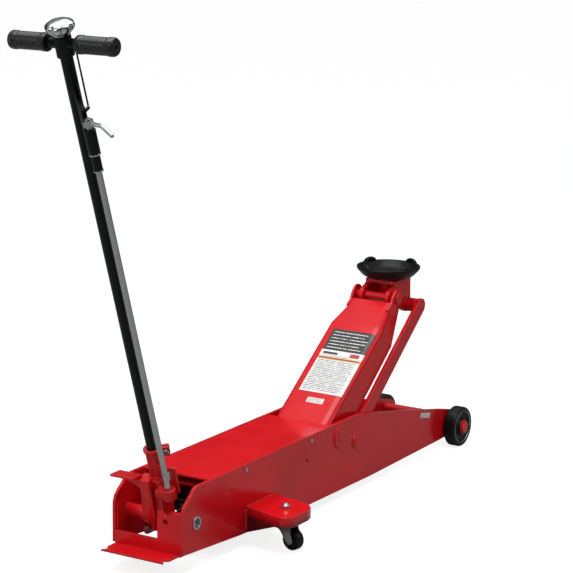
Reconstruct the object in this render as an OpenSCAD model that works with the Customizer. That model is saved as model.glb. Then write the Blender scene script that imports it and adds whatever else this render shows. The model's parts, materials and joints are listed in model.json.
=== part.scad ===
/* [View] */
// Sub-part to draw, "all" draws the whole jack

/* [Chassis] */
// Width over the two side plates
chassis_w = 215; // [180:1:260]
// Thickness of a side plate
plate_t = 8; // [5:0.5:12]
// Height of the top edge of the side plates
plate_top = 220; // [200:1:240]
// Height of the bottom edge at the rear
rear_bottom = 54; // [40:1:80]
// Distance from the rear edge to the front end of the plates
plate_len = 1461; // [1300:1:1600]
// Thickness of the top cover
cover_t = 6; // [3:0.5:10]
// Rear edge of the top cover
cover_rear = 126; // [110:1:160]
// Front edge of the top cover
cover_front = 731; // [700:1:731]

/* [Wheels] */
// Radius of a front wheel
wheel_r = 60; // [50:1:75]
// Width of a front wheel
wheel_w = 36; // [28:1:45]
// Distance of the front axle from the rear edge
axle_x = 1438; // [1400:1:1480]
// Radius of a caster wheel
caster_r = 28; // [22:1:35]
// Position of the caster swivel along the chassis
caster_x = 339; // [300:1:380]
// Distance of the caster swivel from the middle
caster_y = 199; // [180:1:230]
// Trail of the caster wheel
caster_trail = 26; // [18:1:32]
// Height of the top of the caster wing
wing_z = 106; // [95:1:115]

/* [Lift arm] */
// Arm pivot, distance from the rear edge
arm_x = 767; // [740:1:800]
// Arm pivot height
arm_z = 181; // [170:1:190]
// Length of the arm between pivots
arm_len = 500; // [450:1:550]
// Angle of the arm when raised
arm_ang = 39; // [30:0.5:45]
// Angle the arm turns through from raised to lowered
arm_swing = 47; // [40:0.5:50]
// Radius rod pivot, distance ahead of the arm pivot
rod_dx = 92; // [80:1:110]
// Radius rod pivot, height above the arm pivot
rod_dz = -34; // [-45:1:-20]
// Radius of the arm shaft
arm_shaft_r = 15; // [12:0.5:20]
// Length of the crank that the ram pushes
crank_r = 100; // [80:1:110]

/* [Saddle] */
// Saddle outside radius
saddle_r = 93; // [80:1:100]
// Height of the saddle rim when raised
saddle_z = 576; // [560:1:590]
// Distance of the saddle centre from the rear edge
saddle_x = 1220; // [1210:1:1230]

/* [Handle] */
// Handle pivot, distance from the rear edge
piv_x = 61; // [50:1:80]
// Handle pivot height
piv_z = 125; // [110:1:140]
// Backward lean of the handle
lean = 18.7; // [10:0.1:30]
// Distance of the pole axis ahead of the pivot
pole_off = 24; // [15:1:30]
// Radius of the pole
pole_r = 15; // [12:0.5:18]
// Height of the tee bar along the pole
tee_h = 1282; // [1100:1:1350]
// Length over the two grips
tee_len = 296; // [250:1:400]
// Offset of the lock rod ahead of the pivot
lock_x = -18; // [-25:1:-10]
// Offset of the lock rod to the side
lock_y = -56; // [-65:1:-45]

/* [Fits] */
// Radial clearance of a running fit
fit = 0.05; // [0.02:0.01:0.1]

/* [Hidden] */
$fn = 64;
// overall box of the whole jack, used to put the origin under its centre
x_rear = -377.2;
x_front = axle_x + wheel_r;
ox = -(x_rear + x_front)/2;
hw = chassis_w/2;
inner = hw - plate_t;
link_x = arm_x + rod_dx;
link_z = arm_z + rod_dz;
ca = cos(arm_ang);
sa = sin(arm_ang);
tip_x = arm_x + arm_len*ca;
tip_z = arm_z + arm_len*sa;
dpin_x = tip_x + rod_dx;
dpin_z = tip_z + rod_dz;
half = arm_swing/2;
ep_x = arm_x + crank_r*sin(half);
ep_z = arm_z - crank_r*cos(half);
ram_z = arm_z - crank_r*(1 + cos(half))/2;
shield_r = 47.5;
arm_w = 86;
cam_k = 0.30;
cam_r0 = 33;
cam_gap = 0.4;
tip_r = 7;
plg_x = piv_x + cam_r0 + tip_r/cos(atan(cam_k*180/PI/cam_r0)) + cam_gap;
plg_y = -16;
stem_y = 33;
stem_z = 84;

red = [0.78,0.08,0.10];
dark = [0.05,0.06,0.07];
steel = [0.72,0.73,0.74];

module put() translate([ox,0,0]) children();
// cylinder along +Y from y0 to y1
module ycyl(r, y0, y1, x=0, z=0, n=64) translate([x,y0,z]) rotate([-90,0,0]) cylinder(r=r, h=y1-y0, $fn=n);
module xcyl(r, x0, x1, y=0, z=0, n=64) translate([x0,y,z]) rotate([0,90,0]) cylinder(r=r, h=x1-x0, $fn=n);
module box(a, b) translate(a) cube([b[0]-a[0], b[1]-a[1], b[2]-a[2]]);
// draws a profile given in X and Z as a plate between y0 and y1
module plate(y0, y1) translate([0,y1,0]) rotate([90,0,0]) linear_extrude(height=y1-y0) children();
// link outline between two round ends
module link2d(x0,z0,x1,z1,r0,r1) {
  L = sqrt((x1-x0)*(x1-x0)+(z1-z0)*(z1-z0));
  a = atan2(z1-z0, x1-x0);
  b = acos((r0-r1)/L);
  translate([x0,z0]) circle(r=r0);
  translate([x1,z1]) circle(r=r1);
  polygon([[x0+r0*cos(a+b), z0+r0*sin(a+b)],[x1+r1*cos(a+b), z1+r1*sin(a+b)],
           [x1+r1*cos(a-b), z1+r1*sin(a-b)],[x0+r0*cos(a-b), z0+r0*sin(a-b)]]);
}
// frame of the handle: z runs up the pole, x points ahead, origin on the pivot
module hframe() translate([piv_x,0,piv_z]) rotate([0,-lean,0]) children();
// frame of the arm: x runs from the arm pivot to the tip, z is square to it
module aframe() translate([arm_x,0,arm_z]) rotate([0,-arm_ang,0]) children();

// ---------- chassis ----------
module side_profile() {
  difference() {
    polygon([[0,rear_bottom],[0,158],[7,176],[22,190],[37,201],[48,212],[60,219],[76,plate_top],
      [850,223],[930,212],[1115,177],[1364,126],[1440,108],[1456,98],[plate_len+3,84],[plate_len,56],
      [1450,40],[1436,33],[1365,30],[950,24],[600,27],[267,36]]);
    translate([piv_x,piv_z]) circle(r=17.3);
    translate([594,155]) circle(r=5);
    for (x=[287,612]) translate([x,207]) circle(r=4.2,$fn=24);
  }
}
module side_plate(s) {
  y0 = s > 0 ? inner : -hw;
  color(red) put() {
    difference() {
      plate(y0, y0+plate_t) side_profile();
      ycyl(arm_shaft_r, -200, 200, arm_x, arm_z);
      ycyl(10, -200, 200, link_x, link_z);
      ycyl(12, -200, 200, axle_x, wheel_r);
    }
    // welded bosses around the two lift pivots
    yb = s > 0 ? hw : -hw-5;
    difference() {
      union() { ycyl(29, yb, yb+5, arm_x, arm_z); ycyl(18, yb, yb+5, link_x, link_z); }
      ycyl(arm_shaft_r, -200, 200, arm_x, arm_z);
      ycyl(10, -200, 200, link_x, link_z);
    }
  }
}
module side_plate_left() side_plate(1);
module side_plate_right() side_plate(-1);
module rear_plate() color(red) put() difference() {
  translate([8,0,0]) rotate([90,0,-90]) linear_extrude(height=8)
    polygon([[inner,rear_bottom],[inner,160],[31,160],[30,150],[30,85],[-inner,85],[-inner,rear_bottom]]);
  // half-round notch and a hole in the tall part
  xcyl(15, -5, 15, -61, 164);
  xcyl(8, -5, 15, -54, 133);
}
module rear_lip() color(red) put() difference() {
  union() {
    box([-66,-95,rear_bottom-5],[0,95,rear_bottom]);
    box([0,-inner,rear_bottom-5],[60,inner,rear_bottom]);
  }
  // corners cut on a slant
  for (s=[-1,1]) translate([-66, s*95, rear_bottom-10]) rotate([0,0,s*-40]) translate([-40, s>0 ? 0 : -60, 0]) cube([60,60,20]);
}
module cover_plate() color(red) put() difference() {
  union() {
    box([cover_rear,-inner,plate_top-cover_t],[cover_front,inner,plate_top]);
    box([cover_rear,-inner,plate_top-28],[cover_front-4,-inner+5,plate_top-cover_t]);
    box([cover_rear,inner-5,plate_top-28],[cover_front-4,inner,plate_top-cover_t]);
  }
  for (x=[287,612]) ycyl(4.2, -120, 120, x, 207, 24);
}
module cross_ties() color(red) put() {
  box([150,-inner,184],[172,inner,192]);
  ycyl(12, -inner, inner, 660, 44);
  ycyl(14, -inner, inner, 1400, 92);
  box([262,-inner,36.5],[590,inner,41.5]);
}
module front_axle() color(steel) put() {
  ycyl(12, -153, 153, axle_x, wheel_r);
  for (s=[-1,1]) {
    a = s>0 ? hw : -hw-3;
    difference() { ycyl(20, a, a+3, axle_x, wheel_r); ycyl(12, a-1, a+4, axle_x, wheel_r); }
    b = s>0 ? 151 : -157;
    ycyl(17, b, b+6, axle_x, wheel_r, 32);
  }
}
module wing_outline() polygon([[293,hw],[262,214],[259,230],[262,243],[272,252],[290,256],[354,256],[378,250],[394,236],[402,214],[430,hw]]);
module wing_inner() polygon([[299,hw-1],[268,214],[265,230],[268,240],[276,247],[291,250],[353,250],[375,245],[389,232],[396,214],[424,hw-1]]);
module wing(s) color(red) put() mirror([0, s>0 ? 0 : 1, 0]) {
  difference() {
    union() {
      // top sheet with a turned-down edge
      difference() {
        translate([0,0,wing_z-28]) linear_extrude(height=28) wing_outline();
        translate([0,0,wing_z-60]) linear_extrude(height=55) wing_inner();
      }
      // tapering side webs, deep at the chassis
      for (k=[0,1]) {
        x0 = k==0 ? 293 : 424; x1 = k==0 ? 262 : 396;
        hull() {
          translate([x0,hw,36]) cube([6,0.5,wing_z-40]);
          translate([x1,213,wing_z-27]) cube([6,1,20]);
        }
      }
      translate([caster_x,caster_y,wing_z-12]) cylinder(r=22,h=8);
    }
    translate([caster_x,caster_y,wing_z-30]) cylinder(r=8,h=60);
  }
}
module wing_left() wing(1);
module wing_right() wing(-1);
module pivot_shaft() color(steel) put() difference() {
  union() {
    ycyl(12, -hw, hw, piv_x, piv_z);
    ycyl(17.3, -hw-1.5, -inner, piv_x, piv_z);
    ycyl(17.3, inner, hw+1.5, piv_x, piv_z);
  }
  ycyl(12, -hw-3, -hw+6, piv_x, piv_z);
  ycyl(12, hw-6, hw+3, piv_x, piv_z);
}
module pivot_sleeves() color(red) put() difference() {
  union() {
    ycyl(16.5, 42, inner, piv_x, piv_z);
    ycyl(20, 42, 48, piv_x, piv_z);
    ycyl(16.5, -inner, -32, piv_x, piv_z);
  }
  ycyl(12, -120, 120, piv_x, piv_z);
}
module arm_shaft() color(steel) put() {
  ycyl(arm_shaft_r, -hw-7, hw+7, arm_x, arm_z);
}
module link_pins() color(steel) put() for (s=[-1,1])
  ycyl(10, s>0 ? 87 : -hw-7, s>0 ? hw+7 : -87, link_x, link_z);
module ram_cylinder() color([0.45,0.07,0.08]) put() difference() {
  union() {
    xcyl(38, 196, 590, 0, ram_z);
    xcyl(43, 560, 606, 0, ram_z);
    xcyl(43, 196, 214, 0, ram_z);
  }
  xcyl(18+fit, 400, 640, 0, ram_z);
}
module pump_block() color(dark) put() difference() {
  union() {
    box([132,-44,46],[196,44,150]);
    xcyl(13, 124, 134, plg_y, piv_z);
    xcyl(11, 122, 134, stem_y, stem_z);
  }
  xcyl(tip_r+fit, 100, 185, plg_y, piv_z);
  xcyl(6+fit, 100, 165, stem_y, stem_z);
  translate([176,0,140]) cylinder(r=6,h=30);
}
module fill_plug() color(dark) put() translate([176,0,140]) {
  cylinder(r=6,h=10);
  translate([0,0,10]) cylinder(r=10,h=6,$fn=6);
}
module chassis_bolts() color(steel) put() for (x=[287,612]) for (s=[-1,1]) {
  ycyl(4.2, s>0 ? 88 : -hw, s>0 ? hw : -88, x, 207, 24);
  ycyl(6, s>0 ? hw : -hw-4, s>0 ? hw+4 : -hw, x, 207, 6);
}
module caster_bolts() color(steel) put() for (s=[-1,1]) translate([caster_x, s*caster_y, 0]) {
  translate([0,0,72]) cylinder(r=8,h=wing_z-72+2);
  translate([0,0,68]) cylinder(r=13,h=4);
  translate([0,0,wing_z]) cylinder(r=12,h=8,$fn=6);
  translate([0,0,wing_z+8]) cylinder(r1=10,r2=5,h=6);
}

// ---------- lift arm ----------
function arc(r,a0,a1,n) = [for(i=[0:n]) [r*cos(a0+(a1-a0)*i/n), r*sin(a0+(a1-a0)*i/n)]];
// top line of the arm, nearly straight from the kink back to the hub
arm_top = [[470,16],[366,30],[120,42.5],[4,47.3]];
arm_flange = concat([[520,10],[508,27],[490,27]], arm_top, arc(shield_r,95,262,24), [[60,-50],[140,-54],[205,-58],[370,-58],[450,-48],[492,-27.5]]);
module lift_arm() color(red) put() aframe() {
  difference() {
    union() {
      // two side cheeks, wide at the bottom and narrower at the tip
      for (s=[-1,1]) mirror([0, s>0 ? 0 : 1, 0]) {
        intersection() {
          plate(55, arm_w) { polygon(arm_flange); translate([arm_len,0]) circle(r=28); }
          linear_extrude(height=600,center=true)
            polygon([[-150,arm_w-7],[366,arm_w-7],[440,63],[560,63],[560,70],[443,70],[369,arm_w],[-150,arm_w]]);
        }
      }
      // folded top sheet and the round shield behind the pivot
      intersection() {
        plate(-arm_w, arm_w)
          polygon(concat(arm_top, arc(shield_r,95,178,16), arc(shield_r-7,178,95,16), [[3.5,40.3],[119,35.5],[365,23],[468,9]]));
        linear_extrude(height=600,center=true)
          polygon([[-150,-arm_w],[369,-arm_w],[443,-70],[560,-70],[560,70],[443,70],[369,arm_w],[-150,arm_w]]);
      }
      // inner stiffener
      plate(7-arm_w, arm_w-7) polygon([[150,-50],[156,-50],[156,33],[150,33.5]]);
    }
    ycyl(30, -100, 100, 0, 0);
    ycyl(12, -100, 100, arm_len, 0);
  }
}
module arm_bushing() color(red) put() difference() {
  ycyl(30, -arm_w-1, arm_w+1, arm_x, arm_z);
  ycyl(arm_shaft_r+fit, -100, 100, arm_x, arm_z);
}
module arm_crank() color(red) put() difference() {
  for (s=[-1,1]) plate(s>0 ? 22 : -36, s>0 ? 36 : -22) link2d(arm_x,arm_z,ep_x,ep_z,40,20);
  ycyl(30, -100, 100, arm_x, arm_z);
  ycyl(10, -100, 100, ep_x, ep_z);
}
module crank_pin() color(steel) put() ycyl(10, -40, 40, ep_x, ep_z);
module arm_pin() color(steel) put() {
  ycyl(12, -73, 73, tip_x, tip_z);
  for (s=[-1,1]) ycyl(17, s>0 ? 70 : -75, s>0 ? 75 : -70, tip_x, tip_z);
}
module radius_rod(s) color(red) put() difference() {
  plate(s>0 ? 88 : -98, s>0 ? 98 : -88) link2d(link_x,link_z,dpin_x,dpin_z,22,22);
  ycyl(10+fit, -120, 120, link_x, link_z);
  // open pivot, made loose so that the four-bar can be driven as a tree
  ycyl(10+fit, -120, 120, dpin_x, dpin_z);
}
module radius_rod_left() radius_rod(1);
module radius_rod_right() radius_rod(-1);
module bracket_pin() color(steel) put() {
  ycyl(9.6, -99, 99, dpin_x, dpin_z);
}
module saddle_bracket() color(red) put() {
  zc = saddle_z-35;
  difference() {
    union() {
      translate([saddle_x,0,zc-12]) cylinder(r=30,h=12);
      box([saddle_x-46,-50,zc-12],[saddle_x+46,50,zc]);
      for (s=[-1,1]) plate(s>0 ? 36 : -50, s>0 ? 50 : -36) {
        translate([tip_x,tip_z]) circle(r=24);
        translate([dpin_x,dpin_z]) circle(r=22);
        polygon([[tip_x-6,tip_z+22],[saddle_x-46,zc-12],[saddle_x-46,zc],[saddle_x+46,zc],[dpin_x+21.5,dpin_z+4],
                 [dpin_x-4,dpin_z-21.5],[tip_x-4,tip_z-23.5]]);
      }
      ycyl(20, -84, 84, dpin_x, dpin_z);
      translate([saddle_x,0,zc-60]) cylinder(r=26,h=50);
      box([saddle_x-10,-40,zc-58],[saddle_x+10,40,zc-10]);
    }
    ycyl(12+fit, -100, 100, tip_x, tip_z);
    ycyl(9.6, -100, 100, dpin_x, dpin_z);
    translate([saddle_x,0,zc-80]) cylinder(r=16+fit,h=120);
  }
}
module saddle_cup() color(dark) put() translate([saddle_x,0,saddle_z-35]) {
  translate([0,0,-48]) cylinder(r=16,h=50);
  rotate_extrude($fn=96) polygon([[0,0.5],[58,0.5],[76,8],[saddle_r-2,26],[saddle_r,31],[saddle_r,35],[saddle_r-9,35],
     [saddle_r-12,30],[70,16],[56,11],[0,11]]);
}
module saddle_lugs() color(dark) put() translate([saddle_x,0,saddle_z-8])
  for (a=[55,145,235,325]) rotate([0,0,a]) rotate_extrude(angle=26,$fn=96)
    polygon([[saddle_r-11,8],[saddle_r,8],[saddle_r+1,12],[saddle_r-3,19],[saddle_r-12,19],[saddle_r-12,9]]);

// ---------- ram ----------
module ram_rod() color([0.8,0.8,0.82]) put() xcyl(18, 490, ep_x-18, 0, ram_z);
module crosshead() color(red) put() difference() {
  box([ep_x-30,-19,ram_z-32],[ep_x+24,19,ram_z+32]);
  // upright slot that lets the crank pin rise and fall
  ycyl(10.9, -30, 30, ep_x, ram_z+5);
  ycyl(10.9, -30, 30, ep_x, ram_z-5);
  box([ep_x-10.9,-30,ram_z-5],[ep_x+10.9,30,ram_z+5]);
  xcyl(18, ep_x-60, ep_x-18, 0, ram_z);
}

// ---------- handle ----------
module handle_yoke() color(red) put() hframe() difference() {
  union() {
    ycyl(24, -28, 40, 0, 0);
    plate(-28, 40) link2d(0,0,12,88,24,22);
    plate(-24, 24) polygon([[-11,50],[-11,110],[46,110],[46,84],[33,60],[14,40]]);
    // cup for the lock pin with its arm and flange
    translate([lock_x,lock_y,74]) cylinder(r=18,h=30);
    box([-30,lock_y,78],[12,-20,98]);
    box([4,lock_y-14,78],[12,-20,152]);
  }
  ycyl(12+fit, -60, 60, 0, 0);
  translate([lock_x,lock_y,60]) cylinder(r=8+fit,h=60);
}
module handle_socket() color(red) put() hframe() translate([pole_off,0,0]) difference() {
  union() {
    translate([0,0,110]) cylinder(r=21.5,h=80);
    translate([0,0,182]) cylinder(r=25,h=8);
    // split clamp lug
    rotate([0,0,-58]) box([14,-9.5,164],[41,9.5,190]);
  }
  translate([0,0,112]) cylinder(r=pole_r,h=100);
  rotate([0,0,-58]) box([10,-2,140],[60,2,200]);
  rotate([0,0,-58]) ycyl(4.5, -30, 30, 32, 178);
}
module clamp_bolt() color(steel) put() hframe() translate([pole_off,0,0]) rotate([0,0,-58]) {
  ycyl(4.5, -18, 18, 32, 178, 24);
  ycyl(8.5, -18, -9.6, 32, 178, 6);
  ycyl(8.5, 9.6, 17, 32, 178, 6);
}
// cam that pushes the pump plunger: the radius grows evenly with the angle
module pump_cam() color(red) put() hframe() difference() {
  plate(plg_y-8, plg_y+8) polygon(concat(
    [for(i=[0:24]) let(b=-14+i*80/24, r=cam_r0+cam_k*b) [r*cos(-lean-b), r*sin(-lean-b)]],
    [[0,0]]));
  ycyl(24, -60, 60, 0, 0);
}
module foot_pedal() color(red) put() hframe() difference() {
  union() {
    // pad that lies level when the handle is at rest
    translate([-8,0,125]) rotate([0,lean,0]) {
      box([-44,22,-6],[0,94,0]);
      for (k=[0:9]) box([-43,24.5+k*7,-1],[-3,27+k*7,2]);
    }
    // curved web down to the hub
    translate([-30,0,0]) rotate([90,0,90]) linear_extrude(height=8) difference() {
      translate([-6,10]) square([68,113]);
      translate([62,66]) circle(r=47);
      translate([16.5,0]) square([60,66]);
    }
    box([-29.5,0.5,-44],[-22.5,15.5,60]);
    box([-31,-7,96],[-11,24,124]);
    box([-26,0.5,-8],[-12,15.5,8]);
  }
  ycyl(24, -60, 60, 0, 0);
  plate(-60, 60) link2d(0,0,12,88,24,22);
}
module pole() color(dark) put() hframe() translate([pole_off,0,112]) difference() {
  cylinder(r=pole_r,h=tee_h-112-22);
  translate([0,0,-1]) cylinder(r=pole_r-3,h=tee_h);
}
module tee_bar() color(dark) put() hframe() translate([pole_off,0,tee_h]) difference() {
  union() {
    translate([0,0,-30]) cylinder(r=21,h=48);
    ycyl(13, -tee_len/2+2, tee_len/2-2, 0, 0);
  }
  translate([0,0,-31]) cylinder(r=pole_r,h=9);
  translate([0,0,-40]) cylinder(r=6.5,h=80);
}
module grip(s) color([0.03,0.03,0.03]) put() hframe() translate([pole_off,0,tee_h])
  mirror([0, s>0 ? 0 : 1, 0]) rotate([-90,0,0]) translate([0,0,42]) rotate_extrude() difference() {
    polygon(concat([[13,0],[20,0],[22.5,3],[22.5,7],[20,10]],
      [for(i=[0:5]) each [[20,14+i*13],[21.4,16+i*13],[21.4,21+i*13],[20,23+i*13]]],
      [[20,98],[22,101],[21.5,104],[18,106],[4,106],[4,104.2],[13,104.2]]));
  }
module grip_left() grip(1);
module grip_right() grip(-1);
module release_knob() color(steel) put() hframe() translate([pole_off,0,tee_h+22]) {
  linear_extrude(height=30) difference() {
    circle(r=36);
    for (a=[0:45:315]) rotate(a) translate([41,0]) circle(r=10,$fn=32);
  }
  translate([0,0,30]) cylinder(r1=24,r2=18,h=6);
  translate([0,0,-3]) cylinder(r=14,h=3);
}
module release_rod() color(steel) put() hframe() translate([pole_off,0,116]) cylinder(r=6,h=tee_h-116+19,$fn=32);
module valve_stem() color(dark) put() {
  xcyl(6, 66, 150, stem_y, stem_z);
  xcyl(10, 44, 66, stem_y, stem_z);
  ycyl(4, stem_y-13, stem_y+13, 55, stem_z, 32);
}
module pump_plunger() color(steel) put() translate([plg_x,plg_y,piv_z]) {
  rotate([0,90,0]) cylinder(r=tip_r,h=54);
  sphere(r=tip_r,$fn=48);
}
module lock_bracket() color(dark) put() hframe() difference() {
  union() {
    // gusset from the pole to the rod guides
    hull() {
      translate([pole_off-4,-6,1004]) cylinder(r=3,h=176,$fn=24);
      translate([lock_x+10,lock_y+12,1012]) cylinder(r=3,h=110,$fn=24);
    }
    translate([lock_x,lock_y,1010]) cylinder(r=14,h=82);
    // tab that carries the guide rod
    hull() {
      translate([-2,-36,1118]) cylinder(r=3,h=12,$fn=24);
      translate([pole_off,-32,1118]) cylinder(r=4,h=12,$fn=24);
    }
    translate([lock_x,lock_y,984]) cylinder(r=11,h=26);
    translate([pole_off,0,1000]) cylinder(r=pole_r+3,h=22);
    translate([pole_off,0,1150]) cylinder(r=pole_r+3,h=22);
  }
  translate([pole_off,0,900]) cylinder(r=pole_r,h=400);
  translate([lock_x,lock_y,900]) cylinder(r=7.5+fit,h=300);
  translate([lock_x,lock_y,1092]) cylinder(r=20,h=60);
}
// thin rod from the underside of the tee bar to the top rod guide
module guide_rod() color(dark) put() hframe()
  translate([pole_off,-32,1130]) cylinder(r=2.2,h=tee_h-13-1130,$fn=24);
module lock_rod() color([0.75,0.77,0.75]) put() hframe() translate([lock_x,lock_y,0]) {
  translate([0,0,150]) cylinder(r=7.5,h=968);
}
module lock_coupling() color(steel) put() hframe() translate([lock_x,lock_y,0]) {
  translate([0,0,76]) cylinder(r=8,h=54);
  translate([0,0,130]) cylinder(r=10.5,h=20,$fn=6);
}
module lock_lever() color(steel) put() hframe() translate([lock_x,lock_y,1100]) {
  difference() { cylinder(r=13,h=14); translate([0,0,-1]) cylinder(r=7.5,h=16); }
  rotate([0,0,-100]) {
    xcyl(5, 10, 44, 0, 7, 32);
    translate([44,0,7]) sphere(r=5,$fn=32);
    translate([44,0,7]) rotate([0,125,0]) cylinder(r=5,h=34,$fn=32);
    translate([44,0,7]) rotate([0,125,0]) translate([0,0,34]) sphere(r=5,$fn=32);
  }
}

// ---------- wheels ----------
module front_wheel(s) color(dark) put() translate([axle_x,0,wheel_r]) mirror([0, s>0 ? 0 : 1, 0])
  rotate([-90,0,0]) translate([0,0,112]) rotate_extrude($fn=96)
    polygon([[12+fit,0],[24,0],[24,4],[46,4],[46,1],[56,1],[wheel_r,5],[wheel_r,wheel_w-4],[57,wheel_w],[48,wheel_w],[45,wheel_w-5],
      [26,wheel_w-5],[23,wheel_w+1],[12+fit,wheel_w+1]]);
module front_wheel_left() front_wheel(1);
module front_wheel_right() front_wheel(-1);
// the caster trails outwards from its swivel
module cframe(s) translate([caster_x, s*caster_y, 0]) rotate([0,0,s*100]) children();
module fork(s) color(steel) put() cframe(s) difference() {
  union() {
    translate([0,0,73]) cylinder(r=24,h=12);
    for (k=[-1,1]) {
      y0 = k>0 ? 15 : -18;
      plate(y0, y0+3) { link2d(caster_trail,caster_r,8,62,11,18); polygon([[-20,73],[-20,62],[-8,50],[20,44],[26,62],[26,73]]); }
    }
    box([-20,-18,73],[26,18,76.5]);
    ycyl(4, -21, 21, caster_trail, caster_r, 24);
  }
  translate([0,0,50]) cylinder(r=8+fit,h=60);
  translate([0,0,50]) cylinder(r=14,h=23);
}
module fork_left() fork(1);
module fork_right() fork(-1);
module caster(s) color(dark) put() cframe(s) translate([caster_trail,0,caster_r]) rotate([-90,0,0]) translate([0,0,-13])
  rotate_extrude() polygon([[4+fit,-1],[10,-1],[11,1.5],[19,1.5],[20,0],[25,0],[caster_r,3],[caster_r,23],[25,26],[20,26],[19,24.5],[11,24.5],[10,27],[4+fit,27]]);
module caster_left() caster(1);
module caster_right() caster(-1);

side_plate_left();
side_plate_right();
rear_plate();
rear_lip();
cover_plate();
cross_ties();
front_axle();
wing_left();
wing_right();
pivot_shaft();
pivot_sleeves();
arm_shaft();
link_pins();
ram_cylinder();
pump_block();
fill_plug();
chassis_bolts();
caster_bolts();
lift_arm();
arm_bushing();
arm_crank();
arm_pin();
crank_pin();
radius_rod_left();
radius_rod_right();
saddle_bracket();
bracket_pin();
saddle_cup();
saddle_lugs();
ram_rod();
crosshead();
handle_yoke();
handle_socket();
pump_cam();
foot_pedal();
pole();
lock_bracket();
guide_rod();
tee_bar();
grip_left();
grip_right();
clamp_bolt();
release_knob();
release_rod();
valve_stem();
pump_plunger();
lock_rod();
lock_coupling();
lock_lever();
front_wheel_left();
front_wheel_right();
fork_left();
fork_right();
caster_left();
caster_right();
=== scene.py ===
"""Visual model of a long-chassis hydraulic floor jack, laid out as a Blender add-on and run as a script."""

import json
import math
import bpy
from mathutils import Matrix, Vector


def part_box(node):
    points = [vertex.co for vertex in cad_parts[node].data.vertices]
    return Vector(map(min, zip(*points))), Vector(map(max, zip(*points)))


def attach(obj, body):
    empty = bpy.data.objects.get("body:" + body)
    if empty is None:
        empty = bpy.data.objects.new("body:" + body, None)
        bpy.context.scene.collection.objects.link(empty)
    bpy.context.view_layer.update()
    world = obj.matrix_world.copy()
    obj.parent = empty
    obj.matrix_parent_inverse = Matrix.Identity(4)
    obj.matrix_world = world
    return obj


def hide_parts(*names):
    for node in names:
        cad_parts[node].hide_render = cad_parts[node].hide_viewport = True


bl_info = {
    "name": "Floor jack builder",
    "version": (1, 0, 0),
    "blender": (4, 5, 0),
    "location": "3D View > Sidebar > Jack",
    "description": "Builds the sheet, cast, turned and printed pieces of a hydraulic floor jack",
    "category": "Object",
}

import bmesh
import bpy
import numpy as np
from mathutils import Matrix, Vector

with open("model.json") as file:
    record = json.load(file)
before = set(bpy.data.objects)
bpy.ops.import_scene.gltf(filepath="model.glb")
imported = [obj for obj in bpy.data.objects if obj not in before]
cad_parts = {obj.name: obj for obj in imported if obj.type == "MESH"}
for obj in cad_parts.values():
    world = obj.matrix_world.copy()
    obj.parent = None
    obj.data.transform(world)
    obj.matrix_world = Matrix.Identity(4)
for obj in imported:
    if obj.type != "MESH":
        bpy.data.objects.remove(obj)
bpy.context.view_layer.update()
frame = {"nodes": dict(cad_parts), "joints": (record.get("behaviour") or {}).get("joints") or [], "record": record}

MM = 0.001
JOINTS = {j["name"]: j for j in frame["joints"]}
NODE_SLOT = {p["node"]: p["material_slot"] for p in frame["record"]["subparts"]}


def node_centre(node):
    """Middle of a CAD node's box, in metres."""
    low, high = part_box(node)
    return (np.array(low) + np.array(high)) / 2


def joint_point(name):
    return np.array(JOINTS[name]["pos_m"], float)


ARM_PIVOT = joint_point("arm_lift")
ARM_TIP = joint_point("bracket_level")
HANDLE_PIVOT = joint_point("handle_swing")
POLE_UP = np.array(JOINTS["release_turn"]["axis"], float)
SADDLE_BASE = joint_point("saddle_turn")
TAU = 2 * math.pi

# measures shared by several pieces, in millimetres
HUB_RADIUS = 47.5  # round end of the arm behind its pivot
# ridge of the arm, from its tip to its pivot: (along, above)
ARM_TOP = np.array([(470, 16), (440, 20), (366, 30), (240, 36.5), (120, 42.5), (4, 47.3)])
TAPER = (366, 440)  # where the arm's cheeks start and stop drawing in
TIP_HALF = 70.0  # half width over the cheeks at the tip
TIP_AT, TIP_RADIUS = 500, 28
CHASSIS_HALF = 107.5  # half width over the side plates
POLE_AXIS = (24.0, 0.0)  # ahead of and left of the handle's pivot
LOCK_AXIS = (-18.0, -56.0)  # the same, for the lock rod
TEE_HEIGHT = 1282.0  # of the tee bar, up the pole
PAPER_LIFT = 0.25  # of a printed film above the paint


# ---------------------------------------------------------------- settings
def tone(name, description, default):
    return bpy.props.FloatVectorProperty(name=name, description=description, default=default, size=3,
                                         min=0, max=1, subtype="COLOR")


def length(name, description, default, low, high):
    return bpy.props.FloatProperty(name=name, description=description, default=default, min=low, max=high,
                                   unit="LENGTH")


class JackPaint(bpy.types.PropertyGroup):
    """Colours of the finishes."""
    red: tone("Red enamel", "Gloss enamel of the sheet steel", (0.70, 0.006, 0.012))
    casting: tone("Red casting", "Enamel over the rough castings of the handle base", (0.62, 0.010, 0.013))
    black: tone("Black enamel", "Gloss enamel of the handle", (0.002, 0.004, 0.0045))
    iron: tone("Saddle iron", "Black coated cast iron", (0.005, 0.007, 0.007))
    plating: tone("Plating", "Zinc plated steel", (0.43, 0.47, 0.46))
    orange: tone("Placard stripe", "Stripe across the placard", (0.80, 0.30, 0.04))


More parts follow.
